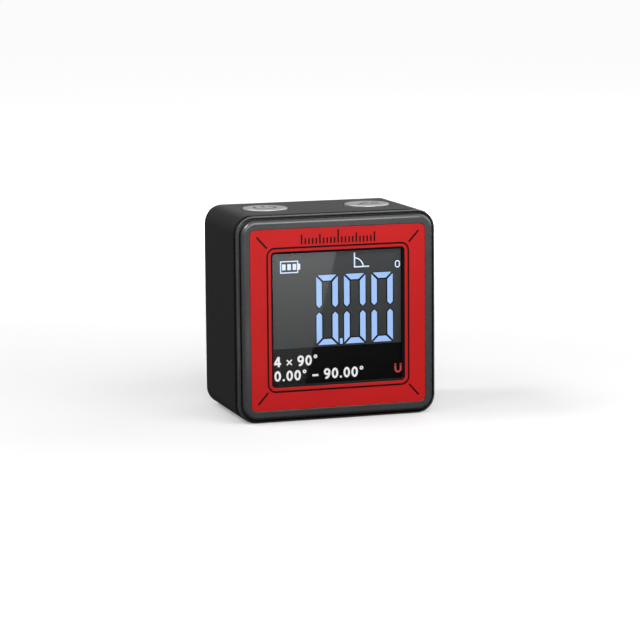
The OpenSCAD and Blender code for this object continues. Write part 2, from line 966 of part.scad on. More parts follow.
// A button: a round cap with a soft top edge, two retaining tabs below the wall and a nub for the switch
module button_cap(x) {
    cap_bottom = top_in - skirt;
    cap_h = case_h + button_proud - cap_bottom;
    button_r = button_d / 2;
    color("#b9bbbf")
        translate([x, button_at - case_d / 2, 0]) {
            translate([0, 0, cap_bottom])
                rotate_extrude() {
                    square([button_r - button_round, cap_h]);
                    square([button_r, cap_h - button_round]);
                    translate([button_r - button_round, cap_h - button_round])
                        intersection() {
                            circle(button_round);
                            square(button_round);
                        }
                }
            translate([0, 0, tab_bottom])
                linear_extrude(tab_t)
                    intersection() {
                        circle(button_r + tab_reach);
                        square([tab_w, 2 * button_d], center = true);
                    }
            translate([0, 0, plunger_top])
                cylinder(d = nub_d, h = nub_h + tab_t / 2);
        }
}

module power_switch() push_switch(-button_x);

module angle_switch() push_switch(button_x);

module power_plunger() plunger(-button_x);

module angle_plunger() plunger(button_x);

module power_button() button_cap(-button_x);

module angle_button() button_cap(button_x);

// Power

module battery_cell() {
    edge_r = 1.2;
    color("#c3c6ca")
        translate([0, 0, cell_lift + cell_h / 2 - case_h / 2])
            layer(cell_front, cell_t)
                rounded_rect(cell_w, cell_h, edge_r);
}

module battery_foam() {
    foam_inset = 2;
    color("#3a3b40")
        translate([0, 0, cell_lift + cell_h / 2 - case_h / 2])
            layer(cell_rear, foam_t)
                square([cell_w - 2 * foam_inset, cell_h - 2 * foam_inset], center = true);
}

main_housing();
front_bezel();
face_plate();
plate_lines();
lens();
lens_mask();
lcd_panel();
lcd_figures();
lcd_signs();
backlight();
elastomer_strip();
main_board();
controller_chip();
tilt_sensor();
board_parts();
battery_socket();
battery_plug();
main_ribbon_socket();
board_ribbon();
switch_ribbon_socket();
charging_socket();
switch_board();
power_switch();
angle_switch();
power_plunger();
angle_plunger();
power_button();
angle_button();
battery_cell();
battery_foam();
lead_positive();
lead_negative();
base_magnets();
case_screws();
board_screws();
switch_board_screws();
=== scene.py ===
"""The looks of a small digital angle gauge: finishes, softened edges, printed marks and a studio.

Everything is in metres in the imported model's own frame: the face looks towards -Y, Z is up.
"""
import math

import bmesh
import bpy
import numpy as np
from mathutils import Matrix, Vector


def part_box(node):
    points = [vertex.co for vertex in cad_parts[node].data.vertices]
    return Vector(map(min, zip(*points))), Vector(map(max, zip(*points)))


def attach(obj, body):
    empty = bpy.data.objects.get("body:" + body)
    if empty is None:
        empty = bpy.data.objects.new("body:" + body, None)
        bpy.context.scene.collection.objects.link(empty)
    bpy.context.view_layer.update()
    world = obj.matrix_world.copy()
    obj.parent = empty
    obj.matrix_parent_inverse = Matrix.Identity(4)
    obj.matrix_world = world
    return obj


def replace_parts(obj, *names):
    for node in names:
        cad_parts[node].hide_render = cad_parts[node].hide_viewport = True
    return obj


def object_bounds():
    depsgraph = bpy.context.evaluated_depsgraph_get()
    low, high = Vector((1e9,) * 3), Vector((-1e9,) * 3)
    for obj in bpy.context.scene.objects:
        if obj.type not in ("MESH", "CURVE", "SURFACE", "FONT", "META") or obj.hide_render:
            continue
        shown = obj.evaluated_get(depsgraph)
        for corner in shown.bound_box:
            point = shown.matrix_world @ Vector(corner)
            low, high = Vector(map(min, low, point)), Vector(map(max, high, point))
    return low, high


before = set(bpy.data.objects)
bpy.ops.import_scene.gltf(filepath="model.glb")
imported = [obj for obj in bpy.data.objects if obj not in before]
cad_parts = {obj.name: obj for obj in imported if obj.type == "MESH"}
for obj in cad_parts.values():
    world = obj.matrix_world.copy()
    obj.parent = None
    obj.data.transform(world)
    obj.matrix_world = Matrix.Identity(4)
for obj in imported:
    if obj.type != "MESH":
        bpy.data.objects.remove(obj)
cad_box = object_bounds()

MM = 0.001
QUARTER_TURN = math.pi / 2
FULL_TURN = 2 * math.pi

# Right, up and out on the two sides that carry print
FRONT = (Vector((1, 0, 0)), Vector((0, 0, 1)), Vector((0, -1, 0)))
TOP = (Vector((1, 0, 0)), Vector((0, 1, 0)), Vector((0, 0, 1)))

# Places of the colour sockets on a Mix node
MIX_SHARE, MIX_LOW, MIX_HIGH, MIX_COLOUR = 0, 6, 7, 2

# Bands or cells per metre of the woven, drawn and foamed finishes
WEAVE_SCALE = 900
TRACK_SCALE = 300
PORE_SCALE = 2500

# Joining, rounding and shading of meshes
MERGE_DISTANCE = 0.0005 * MM
FLAT_ANGLE = math.radians(0.5)
SHARP_ANGLE = math.radians(35)
CAD_SHADING = ("custom_normal", "sharp_face", "sharp_edge")
CASE_EDGE = 0.12 * MM
PLATE_EDGE = 0.05 * MM
EDGE_SEGMENTS = 3
FLATS_WEIGHT = 100
CURVE_POINTS = 48
CORNER_POINTS = 12

# Painted shadow in and near the groove between bezel and housing, as black dull colour: forwards and back
# from the housing's front
GROOVE_SHADOW_AHEAD = 1.75 * MM
GROOVE_SHADOW_BEHIND = 0.3 * MM
GROOVE_SHADOW_BLACK = (0.002, 0.002, 0.002)
GROOVE_SHADOW_DULLER = 0.4

# Painted shadow in the seam between the bezel's rim and its raised frame: inwards from the outline, and back
# from the front
SEAM_OUTER = 0.3 * MM
SEAM_INNER = 0.9 * MM
SEAM_FRONT = 1.32 * MM
SEAM_REAR = 1.95 * MM
CORNER_RADIUS = 4 * MM

# Slope of the bezel's crowned face
BEZEL_CROWN = 0.17
FACE_MIDDLE = (cad_box[0].z + cad_box[1].z) / 2

# Print
PRINT_THICK = 0.02 * MM
PRINT_LIFT = 0.004 * MM
PRINT_STEP = 0.0002 * MM

# Scale on the plate, above the window
SCALE_WIDTH = 16.5 * MM
SCALE_STEPS = 20
SCALE_LONG_EVERY = 5
SCALE_BASE = 1.45 * MM
TICK_WIDTH = 0.34 * MM
TICK_SHORT = 1.3 * MM
TICK_LONG = 2.1 * MM
TICK_MIDDLE = 2.9 * MM

# Numbers in the dark band of the window: each line's text and its height above the window's edge
NUMBER_LINES = (("4 × 90°", 4.5 * MM), ("0.00° – 90.00°", 1.35 * MM))
BAND_LEFT = 0.5 * MM
NUMBER_HEIGHT = 2.25 * MM
NUMBER_WEIGHT = 0.46 * MM
THIN_SIGNS = "°×"
THIN_SHARE = 0.65

# Magnet sign
MAGNET_RIGHT = 0.65 * MM
MAGNET_BASE = 1.7 * MM
MAGNET_WIDTH = 1.65 * MM
MAGNET_LEG = 0.75 * MM
MAGNET_STROKE = 0.42 * MM
MAGNET_GAP = 0.16 * MM
MAGNET_TIP = 0.3 * MM

# Lens, the border of its window and the dark edges of what is lit behind it
LENS_LAP = 1.0 * MM
LENS_BACK_GAP = 0.02 * MM
LENS_RADIUS = 1.2 * MM
LENS_BEVEL = 0.12 * MM
WINDOW_RADIUS = 0.9 * MM
BORDER_WIDTH = 0.5 * MM
BORDER_RIM = 0.05 * MM
BORDER_LAP = 0.05 * MM
FIGURE_EDGE = 0.28 * MM
SIGN_EDGE = 0.18 * MM

# Marks on the buttons
MARK_RADIUS = 2.4 * MM
MARK_STROKE = 0.55 * MM
MARK_OPENING = math.radians(38)

# Floor, whose glow starts and grows at these distances from the object
FLOOR_REACH = 40
FLOOR_DROP = 0.05 * MM
GLOW_START = 0.05
GLOW_RUN = 0.35
GLOW_NEAR = 0.32
GLOW_FAR = 0.88

# Light: the sun, the boxes (name, place, width and height, radiance) and the glowing strip
WORLD_STRENGTH = 0.06
SUN_FROM = Vector((-0.26, -0.85, 0.43))
SUN_STRENGTH = 1.0
SUN_ANGLE = math.radians(20)
BOX_TARGET = Vector((0, 0, 0.022))
SOFT_BOXES = (
    ("front_top", (0.04, -0.15, 0.19), (0.22, 0.14), 6.7),
    ("upper_left", (-0.32, 0.08, 0.43), (0.17, 0.17), 18.0),
    ("corner", (-0.3, -0.16, 0.39), (0.1, 0.1), 16.0),
    ("behind", (10.9, 30.0, 5.6), (16.5, 11.0), 0.39),
    ("rear_low", (0.16, 0.36, 0.02), (0.3, 0.036), 26.0),
    ("right_side", (0.7, 0.2, 0.4), (0.7, 0.6), 2.2),
)
CARD_NEAR = Vector((-0.0037, -0.03, 0.001))
CARD_FAR = Vector((0.1103, -0.35, 0.001))
CARD_WIDTH = 0.06
CARD_RADIANCE = 3.95
CARD_DIMMEST = 0.05
CARD_CURVE = 0.8

# Camera: aim point, distance, the angles it looks from, and its lens in millimetres
AIM = Vector((-4.265, -13.9, 22.08)) * MM
AIM_DISTANCE = 562.5 * MM
AZIMUTH = math.radians(-17.44)
ELEVATION = math.radians(8.77)
ROLL = math.radians(-0.486)
SENSOR = 36
LENS = 146.25
CLIP_NEAR = 0.01
CLIP_FAR = 20


class Wire:
    """A shader socket that arithmetic can be written on: each operator adds one Math node."""

    def __init__(self, finish, socket):
        self.finish = finish
        self.socket = socket

    def maths(self, operation, first, second):
        return self.finish.node("ShaderNodeMath", {"operation": operation}, {0: first, 1: second})

    def __add__(self, other):
        return self.maths("ADD", self, other)

    def __sub__(self, other):
        return self.maths("SUBTRACT", self, other)

    def __rsub__(self, other):
        return self.maths("SUBTRACT", other, self)

    def __mul__(self, other):
        return self.maths("MULTIPLY", self, other)

    def __pow__(self, other):
        return self.maths("POWER", self, other)

    def __rpow__(self, other):
        return self.maths("POWER", other, self)

    def __gt__(self, other):
        return self.maths("GREATER_THAN", self, other)

    def __lt__(self, other):
        return self.maths("LESS_THAN", self, other)

    __radd__ = __add__
    __rmul__ = __mul__


class Finish:
    """A material under construction: one method adds any node, another closes it with a shader."""

    def __init__(self, name):
        self.material = bpy.data.materials.new(name)
        self.material.use_nodes = True
        self.tree = self.material.node_tree
        self.tree.nodes.clear()

    def node(self, kind, settings=None, inputs=None, output=0):
        """Adds a node of that type: its settings first, then the values or links of its sockets."""
        made = self.tree.nodes.new(kind)
        for key, value in (settings or {}).items():
            setattr(made, key, value)
        for key, value in (inputs or {}).items():
            if isinstance(value, Wire):
                self.tree.links.new(value.socket, made.inputs[key])
            else:
                made.inputs[key].default_value = value
        return Wire(self, made.outputs[output]) if made.outputs else None

    def place(self):
        """The piece's own coordinates, in metres."""
        return self.node("ShaderNodeTexCoord", output="Object")

    def along(self, axis):
        """One of the piece's own coordinates: X, Y or Z, in metres."""
        return self.node("ShaderNodeSeparateXYZ", {}, {0: self.place()}, axis)

    def noise(self, size, detail=2.0, where=None):
        """Noise from 0 to 1 whose lumps are about size metres across."""
        sockets = {"Vector": where or self.place(), "Scale": 1 / size, "Detail": detail}
        return self.node("ShaderNodeTexNoise", {}, sockets)

    def between(self, low, high, share):
        """A colour from low to high, by share. Each is three numbers or a colour socket."""
        low, high = (colour if isinstance(colour, Wire) else (*colour, 1) for colour in (low, high))
        sockets = {MIX_SHARE: share, MIX_LOW: low, MIX_HIGH: high}
        return self.node("ShaderNodeMix", {"data_type": "RGBA"}, sockets, MIX_COLOUR)

    def bump(self, height, depth, strength=1.0):
        """A normal tilted by a height, of which 1 stands for depth metres."""
        return self.node("ShaderNodeBump", {}, {"Height": height, "Distance": depth, "Strength": strength})

    def close(self, shader):
        """Joins the last shader to the material's output and returns the material."""
        self.node("ShaderNodeOutputMaterial", {}, {"Surface": shader})
        return self.material

    def principled(self, **inputs):
        """Closes the material with a Principled shader; underscores in names stand for spaces."""
        sockets = {key.replace("_", " "): value for key, value in inputs.items()}
        return self.close(self.node("ShaderNodeBsdfPrincipled", {}, sockets))


def moulded_plastic(name, dark, light, grain, depth, rough, level, shadow_depths=None, crown=0.0):
    """Moulded plastic: spark-eroded grain as bump, slow clouds of tone and patches of gloss. The shadow
    depths are a range along Y whose surfaces are painted black and dull: painted shadow for the gap between
    two mouldings.
    A crown is the slope at which a front falls away from its middle, by distance times slope."""
    f = Finish(name)
    grain_height = f.noise(grain, 3.0)
    clouds = f.noise(9 * MM)
    colour = f.between(dark, light, clouds * 0.6 + grain_height * 0.4)
    gloss = grain_height * 0.14 + clouds * 0.06 + (rough - 0.1)
    # Painted shadow: within the depth range the colour goes black and the gloss duller, for the shade in the
    # gap between the mouldings.
    if shadow_depths:
        front, rear = shadow_depths
        deep = f.along("Y")
        in_shadow = (deep > front) * (deep < rear)
        colour = f.between(colour, GROOVE_SHADOW_BLACK, in_shadow)
        gloss = gloss + in_shadow * GROOVE_SHADOW_DULLER
    relief = grain_height * depth
    if crown:
        flat = f.node("ShaderNodeVectorMath", {"operation": "MULTIPLY"}, {0: f.place(), 1: (1, 0, 1)})
        ends = {0: flat, 1: (0, 0, FACE_MIDDLE)}
        away = f.node("ShaderNodeVectorMath", {"operation": "DISTANCE"}, ends, "Value")
        relief = relief - away * crown
    return f.principled(
        Base_Color=colour,
        Roughness=gloss,
        Specular_IOR_Level=level,
        Normal=f.bump(relief, 1.0),
    )


def dull_moulding(name, dark, light):
    """A small inner moulding: fine grain in tone, gloss and bump."""
    return moulded_plastic(name, dark, light, grain=0.2 * MM, depth=0.006 * MM, rough=0.5, level=0.4)


def plate_red():
    """Satin red paint on thin sheet: faint orange peel, slow change of tone, fine dust specks."""
    f = Finish("plate_red")
    peel = f.noise(0.7 * MM)
    clouds = f.noise(16 * MM, 1.0)
    specks = f.noise(0.12 * MM, 1.0)
    return f.principled(
        Base_Color=f.between((0.43, 0.007, 0.008), (0.53, 0.011, 0.011), clouds * 0.7 + specks * 0.3),
        Roughness=specks * 0.1 + 0.4,
        Specular_IOR_Level=0.28,
        Normal=f.bump(peel, 0.004 * MM, 0.6),
    )


def printed_ink(name, dark, light, rough):
    """Screen-printed ink: a slightly uneven film, in tone, gloss and bump."""
    f = Finish(name)
    film = f.noise(0.25 * MM)
    return f.principled(
        Base_Color=f.between(dark, light, film),
        Roughness=film * 0.12 + rough,
        Specular_IOR_Level=0.15,
        Normal=f.bump(film, 0.001 * MM, 0.3),
    )


def lens_front():
    """Hard-coated clear acrylic: mirror gloss by Fresnel over a clear sheet."""
    f = Finish("lens_front")
    clear = f.node("ShaderNodeBsdfTransparent", {}, {"Color": (0.97, 0.98, 0.98, 1)})
    gloss = f.node("ShaderNodeBsdfGlossy", {}, {"Roughness": 0.02})
    facing = f.node("ShaderNodeFresnel", {}, {"IOR": 1.36})
    return f.close(f.node("ShaderNodeMixShader", {}, {0: facing, 1: clear, 2: gloss}))


def lens_body():
    """The clear body of the lens behind its coated front."""
    f = Finish("lens_body")
    return f.close(f.node("ShaderNodeBsdfTransparent", {}, {"Color": (0.98, 0.985, 0.985, 1)}))


def display_dark():
    """Unlit liquid crystal: dark grey, with a painted glow standing in for light on the panel, which grows as
    the square of the height on the panel."""
    f = Finish("display_dark")
    cells = f.noise(0.2 * MM, 1.0)
    low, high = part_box("lcd_panel")
    rise = (f.along("Z") - low.z) * (1 / (high.z - low.z))
    return f.principled(
        Base_Color=f.between((0.02, 0.021, 0.022), (0.03, 0.031, 0.033), cells),
        Roughness=cells * 0.08 + 0.4,
        # Painted light: a glow, brighter towards the top of the panel.
        Emission_Color=f.between((0.34, 0.34, 0.345), (1.0, 1.0, 1.02), rise * rise),
        Emission_Strength=0.042,
    )


def figure_light(name, low, high):
    """Lit figures: cold light with slow clouds and a fine grain of cells."""
    f = Finish(name)
    cells = f.noise(0.35 * MM, 1.0)
    clouds = f.noise(11 * MM, 1.0)
    return f.principled(
        Base_Color=f.between((0.14, 0.18, 0.22), (0.2, 0.24, 0.28), cells),
        Roughness=cells * 0.1 + 0.45,
        Emission_Color=f.between(low, high, clouds * 0.8 + cells * 0.2),
        Emission_Strength=0.95,
    )


def button_silver():
    """Satin silver lacquer on moulded caps: fine flake in tone, gloss and bump."""
    f = Finish("button_silver")
    flake = f.noise(0.08 * MM)
    clouds = f.noise(3 * MM, 1.0)
    return f.principled(
        Base_Color=f.between((0.34, 0.345, 0.355), (0.45, 0.45, 0.46), flake * 0.7 + clouds * 0.3),
        Metallic=0.55,
        Roughness=flake * 0.14 + 0.34,
        Normal=f.bump(flake, 0.004 * MM, 0.6),
    )


def plated_steel():
    """Bright nickel plate: drawn scratches, small stains in the gloss."""
    f = Finish("plated_steel")
    drawn = f.node("ShaderNodeMapping", {}, {"Vector": f.place(), "Scale": (1, 1, 12)})
    scratches = f.noise(0.6 * MM, 4.0, drawn)
    stains = f.noise(1.8 * MM)
    return f.principled(
        Base_Color=f.between((0.5, 0.49, 0.46), (0.68, 0.67, 0.65), stains),
        Metallic=1.0,
        Roughness=scratches * 0.2 + stains * 0.08 + 0.16,
        Normal=f.bump(scratches, 0.003 * MM, 0.7),
    )


def board_laminate():
    """Circuit board: green lacquer over glass cloth, whose weave shows through."""
    f = Finish("board_laminate")
    bands = {"Vector": f.place(), "Scale": WEAVE_SCALE}
    weave = f.node("ShaderNodeTexWave", {"bands_direction": "DIAGONAL"}, bands)
    lacquer = f.noise(2 * MM)
    return f.principled(
        Base_Color=f.between((0.008, 0.07, 0.03), (0.016, 0.12, 0.05), weave * 0.4 + lacquer * 0.6),
        Roughness=lacquer * 0.1 + 0.28,
        Normal=f.bump(weave, 0.004 * MM, 0.5),
    )


def ribbon_film():
    """Flexible amber film with copper tracks along it."""
    f = Finish("ribbon_film")
    bands = {"Vector": f.place(), "Scale": TRACK_SCALE}
    tracks = f.node("ShaderNodeTexWave", {"bands_direction": "X"}, bands)
    return f.principled(
        Base_Color=f.between((0.5, 0.2, 0.03), (0.7, 0.36, 0.08), tracks),
        Roughness=tracks * 0.12 + 0.3,
        Normal=f.bump(tracks, 0.01 * MM, 0.6),
    )


def cell_foil():
    """Pouch of the battery cell: aluminium foil with soft creases."""
    f = Finish("cell_foil")
    creases = f.noise(2.5 * MM, 4.0)
    return f.principled(
        Base_Color=f.between((0.55, 0.56, 0.58), (0.72, 0.73, 0.75), creases),
        Metallic=0.9,
        Roughness=creases * 0.2 + 0.24,
        Normal=f.bump(creases, 0.04 * MM, 0.8),
    )


def foam():
    """Open-cell foam: round pores in tone and bump."""
    f = Finish("foam")
    pores = f.node("ShaderNodeTexVoronoi", {}, {"Vector": f.place(), "Scale": PORE_SCALE})
    return f.principled(
        Base_Color=f.between((0.03, 0.03, 0.032), (0.08, 0.08, 0.083), pores),
        Roughness=pores * 0.1 + 0.85,
        Normal=f.bump(pores, 0.08 * MM),
    )


housing_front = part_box("main_housing")[0].y
# Depth range of the painted shadow at the groove, on the housing and on the bezel.
groove = (housing_front - GROOVE_SHADOW_AHEAD, housing_front + GROOVE_SHADOW_BEHIND)

FINISHES = {
    "housing_plastic": moulded_plastic(
        "housing_plastic", (0.0155, 0.0155, 0.016), (0.0225, 0.0225, 0.0235),
        grain=0.16 * MM, depth=0.006 * MM, rough=0.4, level=0.3, shadow_depths=groove,
    ),
    "bezel_plastic": moulded_plastic(
        "bezel_plastic", (0.046, 0.047, 0.048), (0.061, 0.062, 0.064),
        grain=0.14 * MM, depth=0.0007 * MM, rough=0.27, level=0.5, shadow_depths=groove, crown=BEZEL_CROWN,
    ),
    "red_plate": plate_red(),
    "black_ink": printed_ink("black_ink", (0.0012, 0.0011, 0.0012), (0.0026, 0.0025, 0.0026), 0.4),
    "clear_lens": lens_front(),
    "display_glass": display_dark(),
    "lit_figures": figure_light("lit_figures", (0.25, 0.43, 0.82), (0.36, 0.55, 0.93)),
    "white_plastic": dull_moulding("white_plastic", (0.6, 0.59, 0.56), (0.72, 0.71, 0.69)),
    "elastomer": dull_moulding("elastomer", (0.3, 0.28, 0.27), (0.4, 0.38, 0.36)),
    "board_laminate": board_laminate(),
    "chip_resin": dull_moulding("chip_resin", (0.012, 0.012, 0.013), (0.025, 0.025, 0.026)),
    "ceramic": dull_moulding("ceramic", (0.3, 0.22, 0.14), (0.42, 0.33, 0.23)),
    "ribbon_film": ribbon_film(),
    "plated_steel": plated_steel(),
    "silver_button": button_silver(),
    "cell_foil": cell_foil(),
    "foam": foam(),
    "red_insulation": dull_moulding("red_insulation", (0.4, 0.012, 0.01), (0.5, 0.02, 0.016)),
    "black_insulation": dull_moulding("black_insulation", (0.01, 0.01, 0.011), (0.02, 0.02, 0.021)),
}
LENS_BODY = lens_body()
SIGN_LIGHT = figure_light("lit_signs", (0.66, 0.77, 0.95), (0.8, 0.87, 1.0))
WHITE_INK = printed_ink("white_ink", (0.74, 0.75, 0.76), (0.86, 0.86, 0.86), 0.34)
RED_INK = printed_ink("red_ink", (0.42, 0.05, 0.06), (0.5, 0.065, 0.075), 0.34)
EDGE_INK = printed_ink("edge_ink", (0.001, 0.001, 0.0012), (0.002, 0.002, 0.0023), 0.7)
# Black dull colour for the painted shadow in the seam.
SEAM_SHADOW_BLACK = dull_moulding("seam_shadow_black", (0.003, 0.003, 0.003), (0.005, 0.005, 0.005))
SHADE_INK = printed_ink("shade_ink", (0.001, 0.003, 0.008), (0.002, 0.005, 0.012), 0.7)
MARK_INK = printed_ink("mark_ink", (0.07, 0.07, 0.075), (0.1, 0.1, 0.105), 0.45)

plate_low, plate_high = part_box("face_plate")
lens_low, lens_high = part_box("lens")
window_low = lens_low + Vector((LENS_LAP, 0, LENS_LAP))
window_high = lens_high - Vector((LENS_LAP, 0, LENS_LAP))


def dress_nodes():
    """Gives each CAD node the finish of its slot; the small signs have a whiter light than the figures."""
    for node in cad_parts.values():
        for slot in node.material_slots:
            slot.material = FINISHES[slot.material.name]
    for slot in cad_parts["lcd_signs"].material_slots:
        slot.material = SIGN_LIGHT


def add_object(name, data):
    """Puts a new object with that mesh, lamp or camera into the scene."""
    made = bpy.data.objects.new(name, data)
    bpy.context.scene.collection.objects.link(made)
    return made


def add_piece(mesh, body, slot, *materials):
    """Makes an object of a finished mesh, gives it its materials and lets it ride on a body."""
    piece = add_object(mesh.name, mesh)
    for material in materials:
        mesh.materials.append(material)
    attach(piece, body)
    return piece


def merged(node):
    """A node's shape, with its loose triangles joined at their corners."""
    shape = bmesh.new()
    shape.from_mesh(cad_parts[node].data)
    bmesh.ops.remove_doubles(shape, verts=shape.verts, dist=MERGE_DISTANCE)
    return shape


def bare_mesh(name, shape):
    """A new mesh of a shape, without the normals, sharp edges and materials that came with it."""
    mesh = bpy.data.meshes.new(name)
    shape.to_mesh(mesh)
    shape.free()
    for attribute in CAD_SHADING:
        if attribute in mesh.attributes:
            mesh.attributes.remove(mesh.attributes[attribute])
    mesh.materials.clear()
    return mesh


def softened(node, name, body, slot, width):
    """A copy of a node's mesh with its corners merged, flat faces joined and sharp edges rounded. Normals
    are weighted by the area of the faces, so that flats stay flat."""
    shape = merged(node)
    bmesh.ops.dissolve_limit(
        shape, angle_limit=FLAT_ANGLE, verts=shape.verts, edges=shape.edges, delimit={"NORMAL"}
    )
    mesh = bare_mesh(name, shape)
    mesh.shade_smooth()
    piece = add_piece(mesh, body, slot, FINISHES[slot])
    edge = piece.modifiers.new("edge", "BEVEL")
    edge.width = width
    edge.segments = EDGE_SEGMENTS
    edge.limit_method = "ANGLE"
    edge.angle_limit = SHARP_ANGLE
    edge.use_clamp_overlap = False
    piece.modifiers.new("flats", "WEIGHTED_NORMAL").weight = FLATS_WEIGHT
    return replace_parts(piece, node)


def paint_seam_shadow(piece):
    """Paints shadow in the seam: blackens the faces that lie within its depth and its distances from the
    outline, standing in for the shade in that recess. A face's inset is the corners' radius less its distance
    from the outline drawn in by that radius."""
    mesh = piece.data
    centres = np.empty(len(mesh.polygons) * 3)
    mesh.polygons.foreach_get("center", centres)
    low, high = (np.array(corner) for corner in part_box("front_bezel"))
    across, deep, up = (centres.reshape(-1, 3) - (low + high) / 2).T
    half = (high - low) / 2
    beyond = np.stack([np.abs(across) - half[0], np.abs(up) - half[2]]) + CORNER_RADIUS
    inset = CORNER_RADIUS - np.linalg.norm(np.maximum(beyond, 0), axis=0) - np.minimum(beyond.max(axis=0), 0)
    back = deep + half[1]
    seam = (inset > SEAM_OUTER) & (inset < SEAM_INNER) & (back > SEAM_FRONT) & (back < SEAM_REAR)
    mesh.materials.append(SEAM_SHADOW_BLACK)
    mesh.polygons.foreach_set("material_index", seam.astype(np.int32))


def mesh_of(name, points, faces):
    """A mesh from an array of points and lists of faces, shaded smooth except at sharp edges."""
    mesh = bpy.data.meshes.new(name)
    mesh.from_pydata(points, [], faces)
    mesh.shade_smooth()
    mesh.set_sharp_from_angle(angle=SHARP_ANGLE)
    return mesh


def tube_faces(rings, around, closed):
    """Quads between neighbouring rings of a grid that runs round; the last ring meets the first if closed."""
    ring, place = np.meshgrid(np.arange(rings if closed else rings - 1), np.arange(around), indexing="ij")
    after, beside = (ring + 1) % rings, (place + 1) % around
    corners = ((ring, place), (ring, beside), (after, beside), (after, place))
    return np.stack([row * around + column for row, column in corners], -1).reshape(-1, 4)


def on_face(points, origin, axes):
    """Points given along right, up and out become points in the frame."""
    return np.asarray(points) @ np.array(axes) + np.array(origin)


def stroke(path, width, closed=False):
    """A flat bar along a path in the plane: each point is carried half a width to either side along
    the path's normal, at two heights, so a section is a rectangle of four points."""
    path = np.asarray(path, float)
    if closed:
        along = np.roll(path, -1, 0) - np.roll(path, 1, 0)
    else:
        along = np.gradient(path, axis=0)
    along /= np.linalg.norm(along, axis=1, keepdims=True)
    side = np.stack([along[:, 1], -along[:, 0]], 1) * width / 2
    low = np.full((len(path), 1), PRINT_LIFT)
    high = low + PRINT_THICK
    corners = [
        np.hstack([path - side, low]), np.hstack([path + side, low]),
        np.hstack([path + side, high]), np.hstack([path - side, high]),
    ]
    points = np.stack(corners, 1).reshape(-1, 3)
    faces = tube_faces(len(path), 4, closed)[:, ::-1]
    if not closed:
        last = 4 * (len(path) - 1)
        faces = np.vstack([faces, (0, 1, 2, 3), (last + 3, last + 2, last + 1, last)])
    return points, faces


def oval(centre, across, up, start=0.0, end=FULL_TURN):
    """Points on an ellipse with those half axes from one angle to another; a full turn isn't closed twice."""
    turn = np.linspace(start, end, CURVE_POINTS, endpoint=abs(end - start) < FULL_TURN)
    return np.stack([centre[0] + across * np.cos(turn), centre[1] + up * np.sin(turn)], 1)


def arc(centre, radius, start, end):
    """Points on a circle from one angle to another."""
    return oval(centre, radius, radius, start, end)


# Signs in a box one unit high: how far each moves the next one, its closed lines and its open lines
SIGNS = {
    " ": (0.34, [], []),
    ".": (0.4, [], [[(0, 0), (0, 0.2)]]),
    "–": (0.9, [], [[(-0.3, 0.4), (0.3, 0.4)]]),
    "×": (0.8, [], [[(-0.25, 0.14), (0.25, 0.64)], [(-0.25, 0.64), (0.25, 0.14)]]),
    "°": (0.6, [oval((0, 0.84), 0.12, 0.12)], []),
    "0": (0.8, [oval((0, 0.5), 0.23, 0.41)], []),
    "4": (0.84, [], [[(0.1, 0), (0.1, 1)], [(0.06, 0.93), (-0.3, 0.3)], [(-0.36, 0.3), (0.32, 0.3)]]),
    "9": (0.8, [oval((0, 0.67), 0.23, 0.24)], [oval((-0.08, 0.62), 0.31, 0.54, 0, -0.6 * math.pi)]),
}


def number_line(text, height, weight):
    """Strokes of a line of signs, set from left to right from their centre lines."""
    shapes, pen = [], 0.0
    for sign in text:
        advance, closed_lines, open_lines = SIGNS[sign]
        width = weight * THIN_SHARE if sign in THIN_SIGNS else weight
        for lines, closed in ((closed_lines, True), (open_lines, False)):
            placed = [(np.asarray(line) + (pen + advance / 2, 0)) * height for line in lines]
            shapes += [stroke(line, width, closed) for line in placed]
        pen += advance
    return shapes


def printed(name, shapes, origin, axes, body, slot, ink):
    """One print made of several strokes, laid on a face of the object, each a hair above the last."""
    points, faces, count = [], [], 0
    for layer, (shape_points, shape_faces) in enumerate(shapes):
        points.append(shape_points + (0, 0, layer * PRINT_STEP))
        faces.append(shape_faces + count)
        count += len(shape_points)
    mesh = mesh_of(name, on_face(np.vstack(points), origin, axes), np.vstack(faces).tolist())
    return add_piece(mesh, body, slot, ink)


def plate_scale():
    """A row of graduation ticks centred above the window, longer at every fifth and in the middle."""
    places = np.linspace(-SCALE_WIDTH / 2, SCALE_WIDTH / 2, SCALE_STEPS + 1)
    steps = np.abs(np.arange(SCALE_STEPS + 1) - SCALE_STEPS // 2)
    heights = np.where(steps % SCALE_LONG_EVERY == 0, TICK_LONG, TICK_SHORT)
    heights = np.where(steps == 0, TICK_MIDDLE, heights)
    ticks = [stroke([(x, 0), (x, high)], TICK_WIDTH) for x, high in zip(places, heights)]
    origin = Vector((0, plate_low.y, window_high.z + SCALE_BASE))
    return printed("plate_scale", ticks, origin, FRONT, "case", "black_ink", FINISHES["black_ink"])


def magnet_sign():
    """A horseshoe magnet: two legs joined by a half circle, with separate tips."""
    across = (MAGNET_WIDTH - MAGNET_STROKE) / 2
    bow = MAGNET_WIDTH / 2
    legs_top = bow + MAGNET_LEG
    bend = arc((0, bow), across, math.pi, FULL_TURN)
    shapes = [stroke(np.vstack([[(-across, legs_top)], bend, [(across, legs_top)]]), MAGNET_STROKE)]
    tip = legs_top + MAGNET_GAP
    shapes += [stroke([(x, tip), (x, tip + MAGNET_TIP)], MAGNET_STROKE) for x in (-across, across)]
    origin = Vector((window_high.x - MAGNET_RIGHT - bow, lens_low.y, window_low.z + MAGNET_BASE))
    return printed("magnet_sign", shapes, origin, FRONT, "case", "red_plate", RED_INK)


